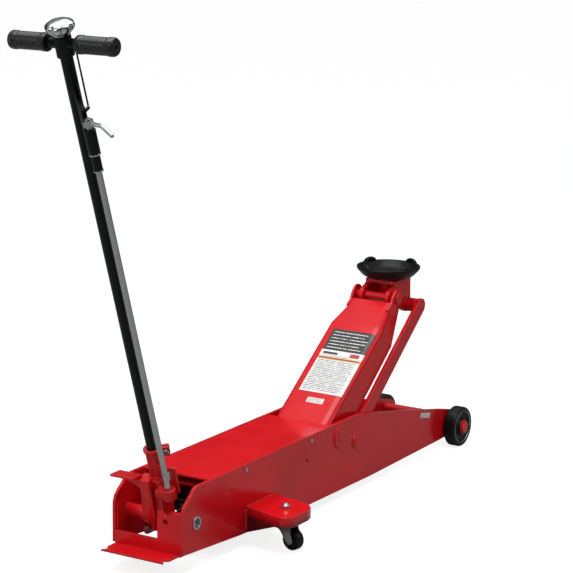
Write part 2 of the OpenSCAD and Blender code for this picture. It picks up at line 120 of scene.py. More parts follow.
class JackSizes(bpy.types.PropertyGroup):
    """Sizes of the pieces that Blender adds."""
    arm_half_width: length("Arm half width", "Half of the width over the lift arm's cheeks",
                           0.086, 0.075, 0.0865)
    arm_bend: length("Arm bend radius", "Outside radius of the bend along the lift arm", 0.018, 0.004, 0.02)
    sheet: length("Arm sheet", "Thickness of the lift arm's sheet", 0.006, 0.003, 0.008)
    saddle_radius: length("Saddle radius", "Outside radius of the saddle's rim", 0.093, 0.08, 0.0935)
    knob_radius: length("Knob radius", "Radius of the release knob over its lobes", 0.036, 0.025, 0.036)
    knob_lobes: bpy.props.IntProperty(
        name="Knob lobes", description="Number of lobes round the release knob",
        default=8, min=5, max=12)
    grip_ribs: bpy.props.IntProperty(
        name="Grip ribs", description="Fine ribs moulded round the middle of each grip",
        default=20, min=8, max=30)
    weld_radius: length("Weld bead", "Radius of a weld bead", 0.0035, 0.002, 0.005)
    camera_lens: bpy.props.FloatProperty(
        name="Camera lens", description="Focal length of the stage camera",
        default=137.82, min=50, max=300, unit="CAMERA")


# ---------------------------------------------------------------- surfaces
def rounded(points, radii, steps=5):
    """Corner points of a closed outline with each corner turned into an arc of its own radius.
    The arc is a quadratic curve between the points one tangent length before and after the corner."""
    p = np.asarray(points, float)
    r = np.broadcast_to(np.asarray(radii, float), len(p))
    before, after = np.roll(p, 1, 0) - p, np.roll(p, -1, 0) - p
    lb = np.linalg.norm(before, axis=1)
    la = np.linalg.norm(after, axis=1)
    cut = np.minimum(r, 0.49 * np.minimum(lb, la))[:, None]
    a = p + before / lb[:, None] * cut
    b = p + after / la[:, None] * cut
    t = np.linspace(0, 1, steps)[None, :, None]
    curve = (1 - t) ** 2 * a[:, None] + 2 * t * (1 - t) * p[:, None] + t**2 * b[:, None]
    return curve.reshape(-1, p.shape[1])


def softened(points, spacing, width):
    """An open line resampled at even spacing and averaged over a moving window, which rounds its kinks."""
    p = np.asarray(points, float)
    run = np.concatenate([[0], np.cumsum(np.linalg.norm(np.diff(p, axis=0), axis=1))])
    s = np.linspace(0, run[-1], max(3, int(run[-1] / spacing)))
    fine = np.stack([np.interp(s, run, p[:, k]) for k in range(p.shape[1])], 1)
    n = max(1, int(width / spacing)) | 1
    pad = n // 2
    ends = np.concatenate([2 * fine[:1] - fine[1:pad + 1][::-1], fine,
                           2 * fine[-1:] - fine[-pad - 1:-1][::-1]])
    kernel = np.hanning(n + 2)[1:-1]
    kernel /= kernel.sum()
    return np.stack([np.convolve(ends[:, k], kernel, "valid") for k in range(p.shape[1])], 1)


def turned(profile, radii=0.8, sides=72, lobes=0, lobe_depth=0.0, lobe_from=0.0):
    """An outline of (radius, height) carried round Z. With lobes, the radius is scaled by one minus the
    depth times a raised cosine of the angle, for points further out than lobe_from."""
    line = rounded(profile, radii)
    angle = np.linspace(0, TAU, sides, endpoint=False)[:, None]
    radius = np.broadcast_to(line[:, 0], (sides, len(line)))
    if lobes:
        scallop = (0.5 + 0.5 * np.cos(lobes * angle)) ** 2.2
        share = np.clip((radius - lobe_from) / max(radius.max() - lobe_from, 1e-9), 0, 1)
        radius = radius * (1 - lobe_depth * scallop * share)
    z = np.broadcast_to(line[:, 1], radius.shape)
    return np.stack([radius * np.cos(angle), radius * np.sin(angle), z], -1)


def slab(outline, low, high, edge=1.0, steps=4, centre=None):
    """A plate between two heights whose rim is a quarter circle on each side: rings run from the middle of
    one face, out over the rim and back to the middle of the other. The outline is (x, y) and star-shaped."""
    o = np.asarray(outline, float)
    c = o.mean(0) if centre is None else np.asarray(centre, float)
    step = np.roll(o, -1, 0) - np.roll(o, 1, 0)
    normal = np.stack([step[:, 1], -step[:, 0]], 1)
    normal /= np.linalg.norm(normal, axis=1)[:, None] + 1e-12
    if np.sum(normal * (o - c)) < 0:
        normal = -normal
    a = np.linspace(0, math.pi / 2, steps)
    inset = np.concatenate([edge * (1 - np.sin(a)), edge * (1 - np.sin(a[::-1]))])
    height = np.concatenate([low + edge * (1 - np.cos(a)), high - edge * (1 - np.cos(a[::-1]))])
    rings = o[None] - normal[None] * inset[:, None, None]
    z = np.broadcast_to(height[:, None, None], rings.shape[:2] + (1,))
    body = np.concatenate([rings, z], -1)
    first = np.concatenate([c, [low]])[None, None] + np.zeros_like(body[:1])
    last = np.concatenate([c, [high]])[None, None] + np.zeros_like(body[:1])
    return np.concatenate([first, body, last]).transpose(1, 0, 2)


def tube(path, radius, sides=20, side_dir=(0.0, 1.0, 0.0)):
    """A round section carried along a path. Each ring stands square to the path's tangent, and the two end
    rings are drawn together into poles."""
    p = np.asarray(path, float)
    r = np.broadcast_to(np.asarray(radius, float), len(p))
    tangent = np.gradient(p, axis=0)
    tangent /= np.linalg.norm(tangent, axis=1)[:, None]
    across = np.cross(tangent, np.asarray(side_dir, float))
    across /= np.linalg.norm(across, axis=1)[:, None]
    other = np.cross(tangent, across)
    a = np.linspace(0, TAU, sides, endpoint=False)
    ring = np.cos(a)[None, :, None] * across[:, None] + np.sin(a)[None, :, None] * other[:, None]
    grid = p[:, None] + ring * r[:, None, None]
    return np.concatenate([np.broadcast_to(p[:1, None], grid[:1].shape), grid,
                           np.broadcast_to(p[-1:, None], grid[-1:].shape)])


def weld(path, radius, side_dir=(0.0, 1.0, 0.0)):
    """A tube whose radius swells and pinches once for each drop of weld metal, with a slow uneven drift."""
    p = softened(path, radius * 0.28, radius * 2)
    s = np.arange(len(p)) * 0.28
    drops = radius * (1 + 0.16 * np.abs(np.sin(s * 1.55)) + 0.06 * np.sin(s * 0.31 + p[:, 0]))
    fade = np.clip(np.minimum(np.arange(len(p)), np.arange(len(p))[::-1]) / 5, 0.25, 1)
    return tube(p, drops * fade, 14, side_dir)


def placed(grid, origin, x_dir=(1, 0, 0), z_dir=(0, 0, 1)):
    """A grid in millimetres, turned so that its X and Z lie along two directions, at a point in metres."""
    z = np.asarray(z_dir, float)
    z = z / np.linalg.norm(z)
    x = np.asarray(x_dir, float)
    x = x - z * (x @ z)
    x /= np.linalg.norm(x)
    turn = np.stack([x, np.cross(z, x), z])
    return grid @ turn * MM + np.asarray(origin, float)


def arm_space(grid):
    """Millimetres along the arm, to its left and above its pivot line, as points in metres."""
    along = (ARM_TIP - ARM_PIVOT) / np.linalg.norm(ARM_TIP - ARM_PIVOT)
    return placed(grid, ARM_PIVOT, along, np.cross(along, (0, 1, 0)))


def handle_space(grid):
    """Millimetres ahead of, left of and up the pole from the handle's pivot, as points in metres."""
    return placed(grid, HANDLE_PIVOT, (POLE_UP[2], 0, -POLE_UP[0]), POLE_UP)


def world_mm(grid):
    """Millimetres measured from the rear edge of the chassis, as points in metres."""
    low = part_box("side_plate_right")[0]
    return np.asarray(grid, float) * MM + np.array([low[0], 0, 0])


def piece(name, parts, body, finish, replaces=(), sharp=38.0, weld_poles=True, slot=None):
    """Puts grids of points into one mesh. Each part is (grid, wrap along rows, wrap along columns)."""
    slot = slot or finish
    points, faces, uvs, base = [], [], [], 0
    for grid, wrap_u, wrap_v in parts:
        nu, nv = grid.shape[:2]
        a, b = np.meshgrid(np.arange(nu if wrap_u else nu - 1), np.arange(nv if wrap_v else nv - 1),
                           indexing="ij")
        a, b = a.ravel(), b.ravel()
        a2, b2 = (a + 1) % nu, (b + 1) % nv
        faces.append(base + np.stack([a * nv + b, a2 * nv + b, a2 * nv + b2, a * nv + b2], 1))
        u = np.stack([a, a + 1, a + 1, a], 1) / max(nu - 1, 1)
        v = np.stack([b, b, b + 1, b + 1], 1) / max(nv - 1, 1)
        uvs.append(np.stack([u, v], -1).reshape(-1, 2))
        points.append(grid.reshape(-1, 3))
        base += nu * nv
    mesh = bpy.data.meshes.new(name)
    mesh.from_pydata(np.concatenate(points).tolist(), [], np.concatenate(faces).tolist())
    layer = mesh.uv_layers.new(name="UVMap")
    layer.data.foreach_set("uv", np.concatenate(uvs).astype(np.float32).ravel())
    if weld_poles:
        work = bmesh.new()
        work.from_mesh(mesh)
        bmesh.ops.remove_doubles(work, verts=work.verts, dist=2e-6)
        bmesh.ops.recalc_face_normals(work, faces=work.faces)
        work.to_mesh(mesh)
        work.free()
    mesh.polygons.foreach_set("use_smooth", np.ones(len(mesh.polygons), bool))
    mesh.set_sharp_from_angle(angle=math.radians(sharp))
    mesh.materials.append(FINISHES[finish])
    made = bpy.data.objects.new(name, mesh)
    bpy.context.scene.collection.objects.link(made)
    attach(made, body)
    if replaces:
        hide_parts(*replaces)
    return made


def add_modifier(target, kind, name, **settings):
    modifier = target.modifiers.new(name, kind)
    for key, value in settings.items():
        setattr(modifier, key, value)
    return modifier


# ---------------------------------------------------------------- finishes
def add_node(tree, kind, inputs=None, **settings):
    """Adds a node with its settings; an input is another node's output or a constant."""
    node = tree.nodes.new(kind)
    for key, value in settings.items():
        setattr(node, key, value)
    for key, value in (inputs or {}).items():
        if isinstance(value, bpy.types.NodeSocket):
            tree.links.new(value, node.inputs[key])
        else:
            node.inputs[key].default_value = value
    return node


class Finish:
    """Small helper that adds nodes to one material."""

    def __init__(self, name):
        self.material = bpy.data.materials.new(name)
        self.material.use_nodes = True
        self.tree = self.material.node_tree
        self.tree.nodes.clear()
        self.coords = self.add("ShaderNodeTexCoord").outputs["Object"]

    def add(self, kind, inputs=None, **settings):
        return add_node(self.tree, kind, inputs, **settings)

    def noise(self, scale, detail=3.0, rough=0.55, vector=None):
        inputs = {"Vector": vector or self.coords, "Scale": scale, "Detail": detail, "Roughness": rough}
        return self.add("ShaderNodeTexNoise", inputs).outputs["Fac"]

    def remap(self, value, low, high, to_low=0.0, to_high=1.0):
        inputs = {"Value": value, "From Min": low, "From Max": high, "To Min": to_low, "To Max": to_high}
        return self.add("ShaderNodeMapRange", inputs).outputs["Result"]

    def math(self, operation, a, b=0.0):
        return self.add("ShaderNodeMath", {0: a, 1: b}, operation=operation).outputs[0]

    def mix(self, factor, a, b):
        return self.add("ShaderNodeMix", {0: factor, 6: a, 7: b}, data_type="RGBA").outputs[2]

    def rounded_normal(self, radius):
        return self.add("ShaderNodeBevel", {"Radius": radius}, samples=6).outputs["Normal"]

    def edges(self, radius):
        """How far the rounded normal leans away from the true one: zero on a face, more at an outer edge."""
        true = self.add("ShaderNodeNewGeometry").outputs["Normal"]
        dot = self.add("ShaderNodeVectorMath", {0: self.rounded_normal(radius), 1: true},
                       operation="DOT_PRODUCT").outputs["Value"]
        return self.remap(dot, 0.985, 0.80)

    def bump(self, height, strength, distance, normal=None):
        inputs = {"Height": height, "Strength": strength, "Distance": distance}
        if normal is not None:
            inputs["Normal"] = normal
        return self.add("ShaderNodeBump", inputs).outputs["Normal"]

    def surface(self, **inputs):
        shader = self.add("ShaderNodeBsdfPrincipled", {k.replace("_", " "): v for k, v in inputs.items()})
        out = self.add("ShaderNodeOutputMaterial")
        self.tree.links.new(shader.outputs[0], out.inputs["Surface"])
        return self.material


def rgba(colour, factor=1.0):
    return tuple(min(1.0, c * factor) for c in colour) + (1.0,)


def enamel(name, colour, rough=0.2, edge_radius=0.0016, peel=0.05, cast=0.0, dust=0.01, coat=0.07, chips=0.35,
           low_side_shade=0.0, shine=0.32, rim=0.42):
    """Sprayed enamel: slow colour drift, orange peel, dust on what faces up, chipped edges, a painted highlight
    that lightens the outer edges and, when asked, painted shade low on the side faces.
    """
    f = Finish(name)
    drift = f.mix(f.remap(f.noise(5.0, 4), 0.3, 0.7), rgba(colour, 0.88), rgba(colour, 1.08))
    speckle = f.mix(f.remap(f.noise(140.0, 5), 0.58, 0.72, 0.0, 0.35), drift, rgba(colour, 0.72))
    edge = f.edges(edge_radius)
    worn = f.math("MULTIPLY", edge, f.remap(f.noise(75.0, 4, 0.7), 0.60, 0.66, 0.0, chips))
    # painted highlight: outer edges are lightened towards a pale tint of the colour, as far as rim asks
    light = f.mix(f.math("MULTIPLY", edge, rim), speckle, rgba([c * 0.7 + 0.30 for c in colour]))
    chipped = f.mix(worn, light, (0.20, 0.17, 0.16, 1.0))
    up = f.add("ShaderNodeSeparateXYZ", {0: f.add("ShaderNodeNewGeometry").outputs["Normal"]}).outputs["Z"]
    film = f.math("MULTIPLY", f.remap(up, 0.2, 1.0), f.remap(f.noise(28.0, 6, 0.65), 0.45, 0.75, 0.0, dust))
    colour_out = f.mix(film, chipped, (0.55, 0.47, 0.43, 1.0))
    # painted shade: side faces below about 96 mm are darkened towards near black in uneven patches
    if low_side_shade:
        height_z = f.add("ShaderNodeSeparateXYZ", {0: f.coords}).outputs["Z"]
        side_on = f.remap(f.math("ABSOLUTE", up), 0.75, 0.35)
        low_side_shade_mask = f.math("MULTIPLY", f.math("MULTIPLY", f.remap(height_z, 0.096, 0.080), side_on),
                      f.remap(f.noise(24.0, 5), 0.25, 0.6, low_side_shade * 0.75, low_side_shade))
        colour_out = f.mix(low_side_shade_mask, colour_out, (0.022, 0.008, 0.009, 1.0))
    smear = f.remap(f.noise(11.0, 5, 0.6), 0.3, 0.7, rough * 0.75, rough * 1.35)
    height = f.noise(420.0, 2)
    normal = f.bump(height, peel, 0.0006, f.rounded_normal(edge_radius))
    if cast:
        normal = f.bump(f.noise(210.0, 5, 0.65), cast, 0.0012, normal)
    return f.surface(Base_Color=colour_out, Roughness=smear, Normal=normal, Coat_Weight=coat,
                     Coat_Roughness=0.1, Specular_IOR_Level=shine)


def cast_iron(name, colour):
    """Sand-cast iron under black lacquer, rubbed bright on its rims."""
    f = Finish(name)
    base = f.mix(f.remap(f.noise(38.0, 5), 0.35, 0.65), rgba(colour, 0.4), rgba(colour, 1.2))
    edge = f.edges(0.0022)
    rubbed = f.math("MULTIPLY", edge, f.remap(f.noise(55.0, 4), 0.42, 0.6, 0.0, 0.55))
    colour_out = f.mix(rubbed, base, (0.20, 0.22, 0.22, 1.0))
    normal = f.bump(f.noise(260.0, 4, 0.6), 0.35, 0.0012, f.rounded_normal(0.0022))
    normal = f.bump(f.noise(45.0, 2), 0.15, 0.002, normal)
    return f.surface(Base_Color=colour_out, Roughness=f.remap(f.noise(90.0, 4), 0.3, 0.7, 0.28, 0.5),
                     Metallic=f.math("MULTIPLY", rubbed, 0.9), Normal=normal, Coat_Weight=0.04,
                     Coat_Roughness=0.2, Specular_IOR_Level=0.2)


def plated(name, colour, rough=0.28, grain=0.12, stain=0.25, stretch=(1.0, 1.0, 1.0)):
    """Plated or drawn steel: fine stretched grain and faint stains."""
    f = Finish(name)
    drawn = f.add("ShaderNodeMapping", {"Vector": f.coords, "Scale": stretch}).outputs[0]
    streak = f.noise(600.0, 3, 0.6, drawn)
    tint = f.mix(f.remap(f.noise(30.0, 5, 0.6), 0.45, 0.75, 0.0, stain), rgba(colour), rgba(colour, 0.55))
    tint = f.mix(f.remap(streak, 0.4, 0.6, 0.0, 0.12), tint, rgba(colour, 0.85))
    normal = f.bump(streak, grain, 0.0004, f.rounded_normal(0.0009))
    return f.surface(Base_Color=tint, Metallic=1.0, Normal=normal,
                     Roughness=f.remap(f.noise(70.0, 4), 0.3, 0.7, rough * 0.7, rough * 1.4))


def rubber(name, shade, rough=0.5, grain=0.2, sheen=0.0):
    """Moulded black rubber or nylon with a fine skin grain, rubbed high spots and a painted highlight that
    lightens its edges.
    """
    f = Finish(name)
    skin, rubbed = (shade, shade * 1.15, shade * 1.2, 1), (shade * 2.2,) * 3 + (1,)
    base = f.mix(f.remap(f.noise(50.0, 5), 0.4, 0.7), skin, rubbed)
    # painted highlight: edges are lightened towards a pale blue grey
    edge = f.math("MULTIPLY", f.edges(0.0014), 0.25)
    base = f.mix(edge, base, (0.10, 0.11, 0.115, 1))
    normal = f.bump(f.noise(900.0, 3), grain, 0.0004, f.rounded_normal(0.0014))
    return f.surface(Base_Color=base, Normal=normal, Specular_IOR_Level=0.22, Coat_Weight=sheen,
                     Roughness=f.remap(f.noise(120.0, 4), 0.3, 0.7, rough * 0.75, rough * 1.2))


def printed(name, panels, lines):
    """Printed film read from the piece's own UV map: V runs down the placard and U across it. Panels are
    (top, bottom, left, right, ink). Lines are (top, bottom, rows, ink, weight, margin): bands of broken
    rules, one rule to a row."""
    f = Finish(name)
    uv = f.add("ShaderNodeUVMap", uv_map="UVMap").outputs[0]
    xy = f.add("ShaderNodeSeparateXYZ", {0: uv})
    u, v = xy.outputs["X"], xy.outputs["Y"]
    colour = f.mix(f.remap(f.noise(60.0, 4), 0.4, 0.8), (0.86, 0.86, 0.84, 1), (0.74, 0.74, 0.72, 1))

    def band(low, high, value=v):
        return f.math("MULTIPLY", f.math("GREATER_THAN", value, low), f.math("LESS_THAN", value, high))

    for low, high, left, right, ink in panels:
        colour = f.mix(f.math("MULTIPLY", band(low, high), band(left, right, u)), colour, ink)
    for low, high, rows, ink, weight, margin in lines:
        t = f.remap(v, low, high, 0.0, rows)
        row = f.math("FLOOR", t)
        rule = f.math("LESS_THAN", f.math("ABSOLUTE", f.math("SUBTRACT", f.math("FRACT", t), 0.5)), weight)
        words = f.add("ShaderNodeCombineXYZ", {"X": f.math("MULTIPLY", u, 34.0),
                                               "Y": f.math("MULTIPLY", row, 7.31)})
        broken = f.math("GREATER_THAN", f.noise(1.0, 2, 0.7, words.outputs[0]), 0.43)
        ends = f.add("ShaderNodeTexWhiteNoise", {"W": row}, noise_dimensions="1D").outputs["Value"]
        reach = f.math("LESS_THAN", u, f.remap(ends, 0.0, 1.0, 1.0 - margin * 3.5, 1.0 - margin))
        within = f.math("MULTIPLY", reach, f.math("GREATER_THAN", u, margin))
        inside = f.math("MULTIPLY", band(low, high), within)
        colour = f.mix(f.math("MULTIPLY", inside, f.math("MULTIPLY", rule, broken)), colour, ink)
    scuff = f.mix(f.remap(f.noise(95.0, 6, 0.7), 0.66, 0.74, 0.0, 0.35), colour, (0.5, 0.45, 0.43, 1))
    normal = f.bump(f.noise(150.0, 3), 0.03, 0.0005)
    return f.surface(Base_Color=scuff, Roughness=f.remap(f.noise(22.0, 4), 0.3, 0.7, 0.28, 0.42),
                     Normal=normal, Coat_Weight=0.3, Coat_Roughness=0.15)


FINISHES = {}
# pins whose ends are sprayed over with the frame
PAINTED = ("arm_shaft", "arm_pin", "link_pins", "bracket_pin", "front_axle")


def make_finishes():
    paint = bpy.context.scene.jack_paint
    FINISHES.update(
        red_paint=enamel("red_enamel", paint.red),
        # the wing enamel carries painted shade on its low side faces
        red_wing=enamel("red_wing_enamel_painted_shade", paint.red, low_side_shade=0.9),
        red_casting=enamel("red_cast_enamel", paint.casting, rough=0.3, cast=0.3, edge_radius=0.003,
                           dust=0.04),
        red_cylinder=enamel("dark_red_cylinder", [c * 0.6 for c in paint.casting], rough=0.3, dust=0.12),
        weld_metal=enamel("red_weld", paint.red, rough=0.24, cast=0.45, edge_radius=0.0006, chips=0.1),
        dark_iron=cast_iron("saddle_iron", paint.iron),
        black_paint=enamel("black_enamel", paint.black, rough=0.13, peel=0.03, dust=0.006, coat=0.12,
                           chips=0.3, shine=0.15, rim=0.12),
        black_grip=rubber("grip_rubber", 0.008, rough=0.3, grain=0.1, sheen=0.35),
        black_tyre=rubber("wheel_coating", 0.0025, rough=0.42, grain=0.18, sheen=0.08),
        black_plastic=rubber("plug_plastic", 0.012, rough=0.55),
        steel=plated("turned_steel", (0.50, 0.50, 0.50), rough=0.34, stain=0.5),
        zinc=plated("zinc_plating", paint.plating, rough=0.24, grain=0.05, stain=0.12,
                    stretch=(1.0, 1.0, 0.06)),
        chrome=plated("bright_chrome", (0.60, 0.62, 0.62), rough=0.16, grain=0.03, stain=0.12),
        placard=printed(
            "arm_placard_print",
            [(0.0, 0.335, 0.0, 1.0, (0.004, 0.004, 0.005, 1)),
             (0.365, 0.40, 0.06, 0.40, (0.02, 0.02, 0.02, 1)),
             (0.355, 0.415, 0.70, 0.92, (0.45, 0.03, 0.04, 1)),
             (0.44, 0.482, 0.0, 1.0, rgba(paint.orange)),
             (0.453, 0.469, 0.03, 0.97, (0.16, 0.07, 0.02, 1))],
            [(0.02, 0.315, 6, (0.82, 0.82, 0.80, 1), 0.12, 0.06),
             (0.405, 0.44, 2, (0.25, 0.25, 0.25, 1), 0.2, 0.07),
             (0.49, 0.975, 19, (0.20, 0.21, 0.22, 1), 0.22, 0.035)]),
        sticker=printed("small_sticker_print", [(0.0, 1.0, 0.0, 0.03, (0.3, 0.3, 0.3, 1))],
                        [(0.12, 0.88, 4, (0.16, 0.16, 0.17, 1), 0.2, 0.08)]),
    )


# ---------------------------------------------------------------- operators
class JACK_OT_finishes(bpy.types.Operator):
    """Makes every finish and gives each CAD node the one of its material slot, but red paint to the painted pins
    and the wing enamel to the wings
    """
    bl_idname = "jack.finishes"
    bl_label = "Finishes"

    def execute(self, context):
        make_finishes()
        for name, node in frame["nodes"].items():
            node.data.materials.clear()
            finish = "red_paint" if name in PAINTED else NODE_SLOT[name]
            node.data.materials.append(FINISHES["red_wing" if name.startswith("wing") else finish])
        return {"FINISHED"}


class JACK_OT_lift_arm(bpy.types.Operator):
    """Folds the lift arm from one sheet, with its pivot eyes and its inner stiffener"""
    bl_idname = "jack.lift_arm"
    bl_label = "Lift arm"

    def execute(self, context):
        sizes = context.scene.jack_sizes
        half, bend, sheet = sizes.arm_half_width / MM, sizes.arm_bend / MM, sizes.sheet / MM
        angle = np.radians(np.linspace(95, 262, 24))
        foot = np.array([(482, -30), (450, -48), (370, -58), (205, -58), (140, -54), (60, -50)])
        back = np.stack([HUB_RADIUS * np.cos(angle), HUB_RADIUS * np.sin(angle)], 1)
        chord = np.linspace((56, -50), (-6.6, -46.9), len(angle))
        lines = softened(np.hstack([np.vstack([ARM_TOP, back]), np.vstack([foot, chord])]), 4.0, 17.0)
        ridge, lower = lines[:, :2], lines[:, 2:]
        width = np.interp(ridge[:, 0], TAPER, [half, TIP_HALF])
        down = lower - ridge
        depth = np.linalg.norm(down, axis=1, keepdims=True)
        down /= depth
        # section: up one cheek, round the bend, across and down the other cheek
        fall = np.linspace(1, 0, 14)[None, :] * (depth - bend) + bend
        turn = np.linspace(0, math.pi / 2, 9)[None, 1:]
        across = np.linspace(1, 0, 8)[None, 1:]
        offset = np.concatenate([np.broadcast_to(width[:, None], fall.shape),
                                 (width[:, None] - bend) + bend * np.cos(turn),
                                 (width[:, None] - bend) * across], 1)
        drop = np.concatenate([fall, bend * (1 - np.sin(turn)) + 0 * depth, 0 * depth * across], 1)
        offset = np.concatenate([offset, -offset[:, -2::-1]], 1)
        drop = np.concatenate([drop, drop[:, -2::-1]], 1)
        flat = ridge[:, None, :] + down[:, None, :] * drop[..., None]
        grid = np.stack([flat[..., 0], offset, flat[..., 1]], -1)
        shell = piece("arm_sheet", [(arm_space(grid), False, False)], "arm", "red_paint", ("lift_arm",),
                      sharp=50)
        add_modifier(shell, "SOLIDIFY", "wall", thickness=sheet * MM, offset=-1.0, use_even_offset=False)
        add_modifier(shell, "BEVEL", "cut_edge", width=0.0008, segments=2, limit_method="ANGLE",
                     angle_limit=math.radians(60))
        t = np.linspace(-0.62 * math.pi, 0.47 * math.pi, 22)
        nose = np.stack([TIP_AT + TIP_RADIUS * np.cos(t), TIP_RADIUS * np.sin(t)], 1)
        tip = np.vstack([nose, [(490, 27), (478, 24), (462, 17), (440, 19.5), (438, -45), (470, -34)]])
        eye = slab(tip, TIP_HALF - 6.8, TIP_HALF - 0.2, edge=1.2, centre=(480, 0))
        parts = [(arm_space(np.stack([eye[..., 0], side * eye[..., 2], eye[..., 1]], -1)), True, False)
                 for side in (-1, 1)]
        rib = slab([(-79.5, -50), (79.5, -50), (79.5, 34), (-79.5, 34)], 150, 156, edge=0.8)
        lip = slab(rounded([(-66, 6), (66, 6), (66, 16), (-66, 16)], 2.5), 464, 470.5, edge=1.5)
        for bar in (rib, lip):
            parts.append((arm_space(np.stack([bar[..., 2], bar[..., 0], bar[..., 1]], -1)), True, False))
        piece("arm_eyes", parts, "arm", "red_paint", sharp=40)
        return {"FINISHED"}


class JACK_OT_placards(bpy.types.Operator):
    """Sticks the printed placards on the arm and the chassis, with plain rules in place of words"""
    bl_idname = "jack.placards"
    bl_label = "Placards"

    def execute(self, context):
        sizes = context.scene.jack_sizes
        half, bend = sizes.arm_half_width / MM, sizes.arm_bend / MM

        def on_arm(along, across, columns=64, rows=40):
            """A sheet laid over the arm's top: flat in the middle, then round the bend at the arm's edge."""
            s, t = np.meshgrid(np.linspace(0, 1, columns), np.linspace(0, 1, rows), indexing="ij")
            u = along[0] + (along[1] - along[0]) * t
            y = across[0] + (across[1] - across[0]) * s
            top = np.interp(u, ARM_TOP[::-1, 0], ARM_TOP[::-1, 1])
            over = np.clip(np.abs(y) - (half - bend), 0, bend)
            return arm_space(np.stack([u, y, top + PAPER_LIFT - (bend - np.sqrt(bend**2 - over**2))], -1))

        # a bilinear patch between four corners on the side plate
        y = -CHASSIS_HALF - PAPER_LIFT
        c = world_mm([(1241, y, 141), (1300, y, 129), (1297, y, 114.5), (1238, y, 126.5)])
        u, v = np.meshgrid(np.linspace(0, 1, 12), np.linspace(0, 1, 24), indexing="ij")
        u, v = u[..., None], v[..., None]
        flat = c[0] * (1 - u) * (1 - v) + c[1] * u * (1 - v) + c[2] * u * v + c[3] * (1 - u) * v
        for name, grid, body, finish in (
                ("arm_placard", on_arm((339.5, 103.5), (58, -79)), "arm", "placard"),
                ("arm_sticker", on_arm((84, 66), (18.5, -35.5)), "arm", "sticker"),
                ("chassis_sticker", flat, "chassis", "sticker")):
            piece(name, [(grid, False, False)], body, finish, weld_poles=False, slot="black_plastic")
        return {"FINISHED"}


class JACK_OT_saddle(bpy.types.Operator):
    """Casts the saddle: a dished cup turned round its stem, with four lugs that rise from the rim"""
    bl_idname = "jack.saddle"
    bl_label = "Saddle"

    def execute(self, context):
        r = context.scene.jack_sizes.saddle_radius / MM
        outline = [(0.01, 0.6), (58, 0.6), (74, 7), (r - 3, 24), (r, 29), (r, 35), (r - 9, 35), (r - 13, 29),
                   (70, 16), (56, 11), (22, 11), (19, 13), (0.01, 13)]
        cup = turned(outline, [0, 4, 6, 6, 4, 3, 2.5, 4, 5, 4, 2, 2, 0], sides=144)
        angle = np.arctan2(cup[..., 1], cup[..., 0])
        radius = np.hypot(cup[..., 0], cup[..., 1])
        spokes = 0.5 + 0.5 * np.cos(angle * 8)
        in_dish = np.clip((radius - 26) / 12, 0, 1) * np.clip((68 - radius) / 10, 0, 1) * (cup[..., 2] > 9)
        cup[..., 2] -= 1.6 * in_dish * (spokes ** 3)
        parts = [(placed(cup, SADDLE_BASE), True, False)]
        stem = turned([(0.01, -48), (15.9, -48), (15.9, 1.5), (0.01, 1.5)], [0, 1.5, 0.5, 0], sides=48)
        parts.append((placed(stem, SADDLE_BASE), True, False))
        section = rounded([(r - 11.5, 34), (r - 0.5, 34), (r + 0.8, 40), (r - 3, 46.6), (r - 10.5, 46.6),
                           (r - 12, 42)], [1, 1, 2, 3, 2.5, 2], 6)
        for start in (55, 145, 235, 325):
            t = np.radians(np.linspace(start, start + 26, 22))
            rise = np.sin(np.linspace(0, math.pi, 22)) ** 0.32
            lug = np.stack([section[None, :, 0] * np.cos(t)[:, None],
                            section[None, :, 0] * np.sin(t)[:, None],
                            34 + (section[None, :, 1] - 34) * rise[:, None]], -1)
            parts.append((placed(lug, SADDLE_BASE), False, True))
        piece("saddle_casting", parts, "saddle", "dark_iron", ("saddle_cup", "saddle_lugs"), sharp=48)
        return {"FINISHED"}


